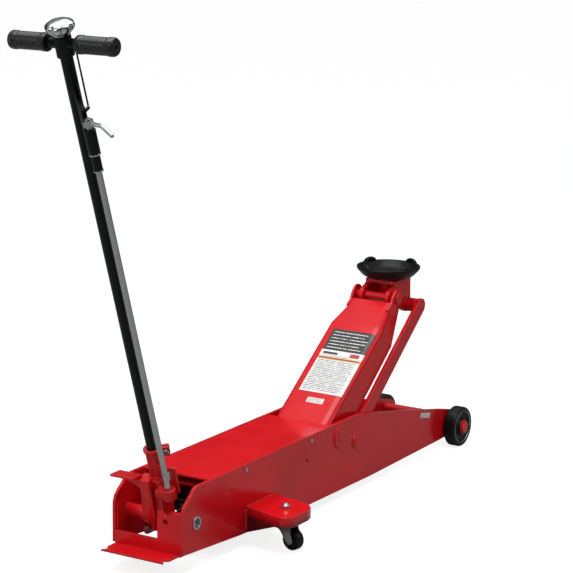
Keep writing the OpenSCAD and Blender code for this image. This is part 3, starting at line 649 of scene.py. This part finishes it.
class JACK_OT_wheels(bpy.types.Operator):
    """Turns the two front wheels and the two caster wheels"""
    bl_idname = "jack.wheels"
    bl_label = "Wheels"

    def execute(self, context):
        for side, name in ((1, "left"), (-1, "right")):
            node, body = "front_wheel_" + name, "wheel_" + name
            centre = node_centre(node)
            low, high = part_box(node)
            inner = (low[1] if side > 0 else -high[1]) / MM
            origin = (centre[0], side * inner * MM, centre[2])
            rim = turned([(12.1, 0), (24, 0), (24, 5), (44, 6), (46, 1), (57, 1), (59.98, 4), (59.98, 32),
                          (57, 36), (49, 36), (46.5, 33), (45, 29.5), (27, 28.5), (24, 36.6), (12.1, 36.6)],
                         [0.5, 1, 2, 2, 1, 1.5, 2, 2.5, 2, 1, 1, 2, 3, 1.5, 0.6], sides=96)
            # six shallow ribs on each face of the web
            around = np.arctan2(rim[..., 1], rim[..., 0])
            outer = np.clip((np.hypot(rim[..., 0], rim[..., 1]) - 28) / 4, 0, 1)
            outer *= np.clip((44.5 - np.hypot(rim[..., 0], rim[..., 1])) / 4, 0, 1)
            rim[..., 2] += outer * 2.2 * (np.cos(around * 6) > 0.55) * np.where(rim[..., 2] > 18, 1, -1)
            bead = turned([(45.9, 32.2), (47.6, 32.2), (48.4, 35.2), (47.4, 36.0), (46.2, 34.6)], 0.5,
                          sides=96)
            face = 36.9
            cap = turned([(0.01, face), (20, face), (21.5, face + 1), (21, face + 3.3), (18.4, face + 4),
                          (17.4, face + 2.2), (0.01, face + 2.2)], [0, 0.5, 1, 1, 0.8, 1, 0], sides=64)
            for part, grid, closed, finish, replaced, sharp in (
                    ("_disc", rim, True, "black_tyre", (node,), 34), ("_ring", bead, True, "zinc", (), 40),
                    ("_hub_cap", cap, False, "red_paint", (), 36)):
                piece(node + part, [(placed(grid, origin, (1, 0, 0), (0, side, 0)), True, closed)], body,
                      finish, replaced, sharp=sharp)
        for name in ("left", "right"):
            node, joint = "caster_" + name, JOINTS[f"caster_{name}_spin"]
            axis = np.array(joint["axis"], float)
            wheel = turned([(4.06, -14), (9.6, -14), (11, -11.2), (18.5, -11.2), (20, -13), (25, -13),
                            (28, -9.5), (28, 9.5), (25, 13), (20, 13), (18.5, 11.2), (11, 11.2), (9.6, 14),
                            (4.06, 14)],
                           [0.3, 1, 1, 1, 1.2, 1.5, 3, 3, 1.5, 1.2, 1, 1, 1, 0.3], sides=80)
            piece(node + "_wheel", [(placed(wheel, joint["pos_m"], (0, 0, 1), axis), True, True)],
                  f"caster_{name}_body", "black_tyre", (node,), sharp=36)
        return {"FINISHED"}


class JACK_OT_handle_top(bpy.types.Operator):
    """Makes the lobed release knob and the two banded grips"""
    bl_idname = "jack.handle_top"
    bl_label = "Knob and grips"

    def execute(self, context):
        sizes = context.scene.jack_sizes
        r = sizes.knob_radius / MM
        base = handle_space(np.array([[*POLE_AXIS, TEE_HEIGHT]]))[0]
        outline = [(0.01, 19), (19, 19), (21, 22), (25, 27), (r - 5, 32), (r - 1, 38), (r, 43), (r - 2, 48),
                   (r - 8, 52.8), (19, 56.2), (9, 57.8), (0.01, 57.8)]
        knob = turned(outline, [0, 1, 4, 6, 8, 3, 3, 4, 8, 10, 5, 0], sides=192, lobes=sizes.knob_lobes,
                      lobe_depth=0.1, lobe_from=19.0)
        piece("release_star_knob", [(placed(knob, base, (0, 1, 0), POLE_UP), True, False)], "release",
              "chrome", ("release_knob",), sharp=50)
        count, first, last = sizes.grip_ribs, 19.0, 83.0
        pitch = (last - first) / count
        line = [(13.05, 0), (20.6, 0), (22.3, 2.5), (22.3, 14), (20.9, 16.5)]
        radii = [0, 1, 2, 2, 1]
        for k in range(count):
            z = first + k * pitch
            line += [(21.2, z), (20.8, z + 0.5 * pitch)]
            radii += [0.4, 0.4]
        line += [(20.9, 85.5), (22.3, 88), (22.3, 101), (19.5, 105.6), (6, 105.6), (5, 101), (0.01, 101),
                 (0.01, 100.7), (4.6, 100.7), (13.05, 104.2)]
        radii += [1, 2, 3, 2, 0.8, 0.3, 0, 0, 0, 0]
        for side, name in ((1, "left"), (-1, "right")):
            grip = turned(line, radii, sides=80)
            origin = handle_space(np.array([[POLE_AXIS[0], side * 42.0, TEE_HEIGHT]]))[0]
            piece("grip_sleeve_" + name, [(placed(grip, origin, POLE_UP, (0, side, 0)), True, True)],
                  "handle", "black_grip", ("grip_" + name,), sharp=42)
        return {"FINISHED"}


class JACK_OT_pedal(bpy.types.Operator):
    """Builds the foot pedal from a ribbed pad and a curved web"""
    bl_idname = "jack.pedal"
    bl_label = "Foot pedal"

    def execute(self, context):
        parts = []
        lean = math.atan2(-POLE_UP[0], POLE_UP[2])

        def level(grid):
            """Turned about the pad's front edge by the handle's lean, so that the pad lies flat at rest."""
            x, y, z = grid[..., 0], grid[..., 1], grid[..., 2]
            return handle_space(np.stack([-8 + x * math.cos(lean) + z * math.sin(lean), y,
                                          125 - x * math.sin(lean) + z * math.cos(lean)], -1))

        pad = slab(rounded([(-44, 22), (0, 22), (0, 94), (-44, 94)], 3), -6, 0, edge=1.6)
        parts.append((level(pad), True, False))
        for k in range(10):
            y = 24.4 + 7 * k
            tooth = slab([(-43, y), (-3, y), (-3, y + 3.2), (-43, y + 3.2)], -1.5, 2.0, edge=1.0)
            parts.append((level(tooth), True, False))
        t = np.radians(np.linspace(90, 180, 26))
        arc = np.stack([62 + 47 * np.cos(t), 66 + 47 * np.sin(t)], 1)
        inner_line = softened(np.vstack([arc, [(15.5, 40), (15.5, 8)]]), 3, 8)
        outer_line = softened([(62, 122.6), (20, 122.6), (-5.6, 122.6), (-5.6, 60), (-5.6, 8)], 3, 8)
        # the web swells between its two edges, which have the same number of points
        a, b = (line[np.linspace(0, len(line) - 1, 40).round().astype(int)]
                for line in (inner_line, outer_line))
        w = np.linspace(0, math.pi, 9)
        across = (1 - np.cos(w)) / 2
        share = across[None, :, None]
        edge = np.concatenate([a[:, None] * (1 - share) + b[:, None] * share,
                               b[:, None] * (1 - share) + a[:, None] * share], 1)
        swell = np.concatenate([np.sin(w) ** 0.25, -np.sin(w) ** 0.25]) * 3.8 - 26
        web = np.stack([np.broadcast_to(swell, edge.shape[:2]), edge[..., 0], edge[..., 1]], -1)
        parts.append((handle_space(web), False, True))
        for (x0, y0, z0), (x1, y1, z1) in (((-31, -7, 96), (-11, 24, 122.2)),
                                           ((-29.5, 0.5, -30), (-22.5, 15.5, 60)),
                                           ((-26, 0.5, -8), (-18, 15.5, 8))):
            block = slab(rounded([(x0, y0), (x1, y0), (x1, y1), (x0, y1)], 2), z0, z1, edge=1.5)
            parts.append((handle_space(block), True, False))
        piece("pedal_pressing", parts, "handle", "red_paint", ("foot_pedal",), sharp=44)
        return {"FINISHED"}


class JACK_OT_welds(bpy.types.Operator):
    """Lays the weld beads round the pivots, under the caster wings and along the rear plate"""
    bl_idname = "jack.welds"
    bl_label = "Welds"

    def execute(self, context):
        r = context.scene.jack_sizes.weld_radius / MM
        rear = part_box("side_plate_right")[0][0]

        def local(x):
            return (x - rear) / MM

        arm_x, arm_z = local(ARM_PIVOT[0]), ARM_PIVOT[2] / MM
        link = joint_point("link_left_turn")
        link_x, link_z = local(link[0]), link[2] / MM
        chassis = []
        for side in (-1, 1):
            y = side * (CHASSIS_HALF + 0.1)
            for cx, cz, radius, low, high in ((arm_x, arm_z, 30.5, 95, 268),
                                              (link_x, link_z, 19, 100, 300)):
                t = np.radians(np.linspace(low, high, 60))
                path = np.stack([cx + radius * np.cos(t), np.full_like(t, y), cz + radius * np.sin(t)], 1)
                chassis.append((world_mm(weld(path, r)), False, True))
            for path in ([(293, y, 105.2), (430, y, 105.2)], [(290.5, y, 100), (290.5, y, 40)],
                         [(432.6, y, 100), (432.6, y, 40)]):
                chassis.append((world_mm(weld(path, r * 0.9, (0.1, 0.9, 0.2))), False, True))
            inside = side * 98.6
            for path in ([(9, inside, 58), (9, inside, 156 if side > 0 else 84)],
                         [(10, inside, 55), (58, inside, 55)]):
                chassis.append((world_mm(weld(path, r * 0.8)), False, True))
        chassis.append((world_mm(weld([(9.6, -80, 55), (9.6, 80, 55)], r * 0.8, (0, 0, 1))), False, True))
        piece("chassis_welds", chassis, "chassis", "weld_metal", sharp=60, slot="red_paint")
        t = np.linspace(0, TAU, 90)
        ring = np.stack([POLE_AXIS[0] + 21.8 * np.cos(t), 21.8 * np.sin(t), np.full_like(t, 111)], 1)
        piece("handle_welds", [(handle_space(weld(ring, r * 0.8, (0, 0, 1))), False, True)], "handle",
              "weld_metal", sharp=60, slot="red_casting")
        return {"FINISHED"}


class JACK_OT_castings(bpy.types.Operator):
    """Softens the edges of the cast handle base, socket and saddle bracket by a fine remesh"""
    bl_idname = "jack.castings"
    bl_label = "Castings"

    def execute(self, context):
        for node, body, voxel, passes in (("handle_yoke", "handle", 0.0013, 5),
                                          ("handle_socket", "handle", 0.0011, 4),
                                          ("saddle_bracket", "bracket", 0.0014, 4)):
            mesh = frame["nodes"][node].data.copy()
            mesh.name = node + "_cast"
            work = bmesh.new()
            work.from_mesh(mesh)
            bmesh.ops.remove_doubles(work, verts=work.verts, dist=1e-5)
            work.to_mesh(mesh)
            work.free()
            made = bpy.data.objects.new(node + "_cast", mesh)
            context.scene.collection.objects.link(made)
            add_modifier(made, "REMESH", "skin", mode="VOXEL", voxel_size=voxel, use_smooth_shade=True)
            add_modifier(made, "SMOOTH", "sand", factor=0.5, iterations=passes)
            mesh.materials.clear()
            mesh.materials.append(FINISHES["red_casting" if body == "handle" else "red_paint"])
            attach(made, body)
            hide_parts(node)
        return {"FINISHED"}


class JACK_OT_fittings(bpy.types.Operator):
    """Adds the lock rod's guide bracket, its sleeve rings and the rings round the pivot shaft"""
    bl_idname = "jack.fittings"
    bl_label = "Fittings"

    def execute(self, context):
        pole, rod = np.array(POLE_AXIS), np.array(LOCK_AXIS)
        along = (rod - pole) / np.linalg.norm(rod - pole)
        across = np.array([-along[1], along[0]])
        # the web leaves the pole in a long curve: (distance from the pole's axis, height up the pole)
        web = rounded([(10, 1004), (10, 1236), (15.5, 1232), (22, 1185), (34, 1150), (53, 1130), (54, 1093),
                       (62, 1091), (64, 1034), (56, 1012), (26, 1006)],
                      [1, 1, 6, 40, 30, 4, 1, 2, 4, 12, 8], 8)
        sheet = slab(web, -6.5, 6.5, edge=3.0, centre=(30, 1070))
        xy = pole + sheet[..., :1] * along + sheet[..., 2:] * across
        parts = [(handle_space(np.concatenate([xy, sheet[..., 1:2]], -1)), True, False)]
        for z0, z1, radius in ((1030, 1092, 14.0), (985, 1031, 11.2)):
            barrel = turned([(7.6, z0), (radius, z0), (radius, z1), (7.6, z1)], [0, 1.5, 2, 0], sides=56)
            barrel[..., :2] += rod
            parts.append((handle_space(barrel), True, True))
        tab = np.array([(-4.0, -37.0, 1124.0), (10.0, -34.0, 1124.5), (24.0, -32.0, 1125.0)])
        parts.append((handle_space(tube(tab, 4.4, 20, (0, 0, 1))), False, False))
        piece("lock_guide", parts, "handle", "black_paint", ("lock_bracket",), sharp=40)
        rings = []
        for z, radius in ((986.5, 12.4), (1029.0, 14.6)):
            inner, low, high = radius - 3, z - 1.6, z + 1.6
            ring = turned([(inner, low), (radius, low), (radius, high), (inner, high)], 0.9, sides=48)
            ring[..., :2] += rod
            rings.append((handle_space(ring), True, True))
        piece("sleeve_rings", rings, "handle", "zinc", sharp=40)
        low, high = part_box("pivot_shaft")
        centre = node_centre("pivot_shaft")
        caps = []
        for side in (-1, 1):
            y = side * max(abs(low[1]), abs(high[1]))
            ring = turned([(12.2, -0.3), (17.4, -0.3), (17.4, 1.6), (14.6, 2.0), (12.2, 1.4)], 0.4, sides=64)
            caps.append((placed(ring, (centre[0], y, centre[2]), (1, 0, 0), (0, side, 0)), True, True))
        piece("pivot_rings", caps, "chassis", "chrome", sharp=36)
        return {"FINISHED"}


class JACK_OT_stage(bpy.types.Operator):
    """Lays the pale floor and sets up the soft lights and the camera"""
    bl_idname = "jack.stage"
    bl_label = "Stage"

    def execute(self, context):
        scene = context.scene
        scene.view_settings.view_transform = "Standard"
        reach, n = 40.0, 41
        x, y = np.meshgrid(np.linspace(-reach, reach, n), np.linspace(-reach, reach, n), indexing="ij")
        i, j = np.meshgrid(np.arange(n - 1), np.arange(n - 1), indexing="ij")
        i, j = i.ravel(), j.ravel()
        quads = np.stack([i * n + j, (i + 1) * n + j, (i + 1) * n + j + 1, i * n + j + 1], 1)
        floor_mesh = bpy.data.meshes.new("floor")
        points = np.stack([x, y, np.zeros_like(x)], -1).reshape(-1, 3)
        floor_mesh.from_pydata(points.tolist(), [], quads.tolist())
        floor = bpy.data.objects.new("floor", floor_mesh)
        scene.collection.objects.link(floor)
        paper = bpy.data.materials.new("floor_paper")
        paper.use_nodes = True
        tree = paper.node_tree
        tree.nodes.clear()
        # a mid grey in the light that reaches the jack, and nearly white to the camera, with faint shadows
        bounce = add_node(tree, "ShaderNodeBsdfDiffuse", {"Color": (0.36, 0.36, 0.36, 1)}).outputs[0]
        faint = add_node(tree, "ShaderNodeBsdfDiffuse", {"Color": (0.34, 0.34, 0.34, 1)}).outputs[0]
        glow = add_node(tree, "ShaderNodeEmission", {"Strength": 0.84}).outputs[0]
        both = add_node(tree, "ShaderNodeAddShader", {0: faint, 1: glow}).outputs[0]
        direct = add_node(tree, "ShaderNodeLightPath").outputs["Is Camera Ray"]
        seen = add_node(tree, "ShaderNodeMixShader", {0: direct, 1: bounce, 2: both}).outputs[0]
        add_node(tree, "ShaderNodeOutputMaterial", {0: seen})
        floor_mesh.materials.append(paper)

        world = bpy.data.worlds.new("studio")
        scene.world = world
        world.use_nodes = True
        tree = world.node_tree
        tree.nodes.clear()
        coord = add_node(tree, "ShaderNodeTexCoord").outputs["Generated"]
        height = add_node(tree, "ShaderNodeSeparateXYZ", {0: coord}).outputs["Z"]
        ramp = add_node(tree, "ShaderNodeMapRange", {"Value": height, "From Min": 0.30, "From Max": 0.85,
                                                     "To Min": 0.02, "To Max": 0.85}).outputs[0]
        soft = add_node(tree, "ShaderNodeBackground", {"Strength": ramp}).outputs[0]
        white = add_node(tree, "ShaderNodeBackground", {"Strength": 1.1}).outputs[0]
        direct = add_node(tree, "ShaderNodeLightPath").outputs["Is Camera Ray"]
        sky = add_node(tree, "ShaderNodeMixShader", {0: direct, 1: soft, 2: white}).outputs[0]
        add_node(tree, "ShaderNodeOutputWorld", {0: sky})

        def area(name, place, aim, size, power):
            data = bpy.data.lights.new(name, "AREA")
            data.shape = "RECTANGLE"
            data.size, data.size_y = size
            data.energy = power
            lamp = bpy.data.objects.new(name, data)
            scene.collection.objects.link(lamp)
            lamp.location = place
            lamp.rotation_euler = (Vector(aim) - Vector(place)).to_track_quat("-Z", "Y").to_euler()

        area("softbox_over", (-0.5, 0.0, 3.4), (0, 0, 0.2), (3.0, 2.6), 90)
        area("softbox_rear", (-3.4, 0.3, 2.3), (0, 0, 0.4), (1.4, 1.6), 15)
        area("strip_left", (-3.0, 2.4, 1.3), (-0.9, 0, 0.8), (0.35, 2.6), 11)
        area("softbox_side", (1.6, -3.8, 2.0), (0.2, 0, 0.3), (2.2, 1.2), 16)

        camera_data = bpy.data.cameras.new("camera")
        camera = bpy.data.objects.new("camera", camera_data)
        scene.collection.objects.link(camera)
        yaw, pitch, roll = math.radians(32.01191549), math.radians(11.863338714), 0.011
        level = math.cos(pitch)
        ahead = np.array([level * math.cos(yaw), level * math.sin(yaw), -math.sin(pitch)])
        right = np.cross(ahead, (0, 0, 1))
        right /= np.linalg.norm(right)
        up = np.cross(right, ahead)
        x_axis = math.cos(roll) * right + math.sin(roll) * up
        y_axis = -math.sin(roll) * right + math.cos(roll) * up
        turn = Matrix(np.stack([x_axis, y_axis, -ahead], 1).tolist()).to_4x4()
        camera.matrix_world = Matrix.Translation((-4.850549, -3.030268, 1.851818)) @ turn
        camera_data.lens = scene.jack_sizes.camera_lens
        camera_data.sensor_width = 36.0
        camera_data.shift_x, camera_data.shift_y = 0.03227, -0.0142
        camera_data.clip_start, camera_data.clip_end = 0.1, 100.0
        scene.camera = camera
        return {"FINISHED"}


OPERATORS = (JACK_OT_stage, JACK_OT_finishes, JACK_OT_lift_arm, JACK_OT_placards, JACK_OT_saddle,
             JACK_OT_wheels, JACK_OT_handle_top, JACK_OT_pedal, JACK_OT_welds, JACK_OT_castings,
             JACK_OT_fittings)


class JACK_PT_panel(bpy.types.Panel):
    """Lists the jack's settings and the operator for each piece"""
    bl_idname = "JACK_PT_panel"
    bl_label = "Floor jack"
    bl_space_type = "VIEW_3D"
    bl_region_type = "UI"
    bl_category = "Jack"

    def draw(self, context):
        for group in (context.scene.jack_sizes, context.scene.jack_paint):
            box = self.layout.box()
            for key in group.__annotations__:
                box.prop(group, key)
        for operator in OPERATORS:
            self.layout.operator(operator.bl_idname)


CLASSES = (JackPaint, JackSizes, *OPERATORS, JACK_PT_panel)


def register():
    for item in CLASSES:
        bpy.utils.register_class(item)
    bpy.types.Scene.jack_paint = bpy.props.PointerProperty(type=JackPaint)
    bpy.types.Scene.jack_sizes = bpy.props.PointerProperty(type=JackSizes)


def unregister():
    del bpy.types.Scene.jack_sizes
    del bpy.types.Scene.jack_paint
    for item in reversed(CLASSES):
        bpy.utils.unregister_class(item)


def main():
    register()
    for operator in OPERATORS:
        group, name = operator.bl_idname.split(".")
        getattr(getattr(bpy.ops, group), name)()


if __name__ == "__main__":
    main()
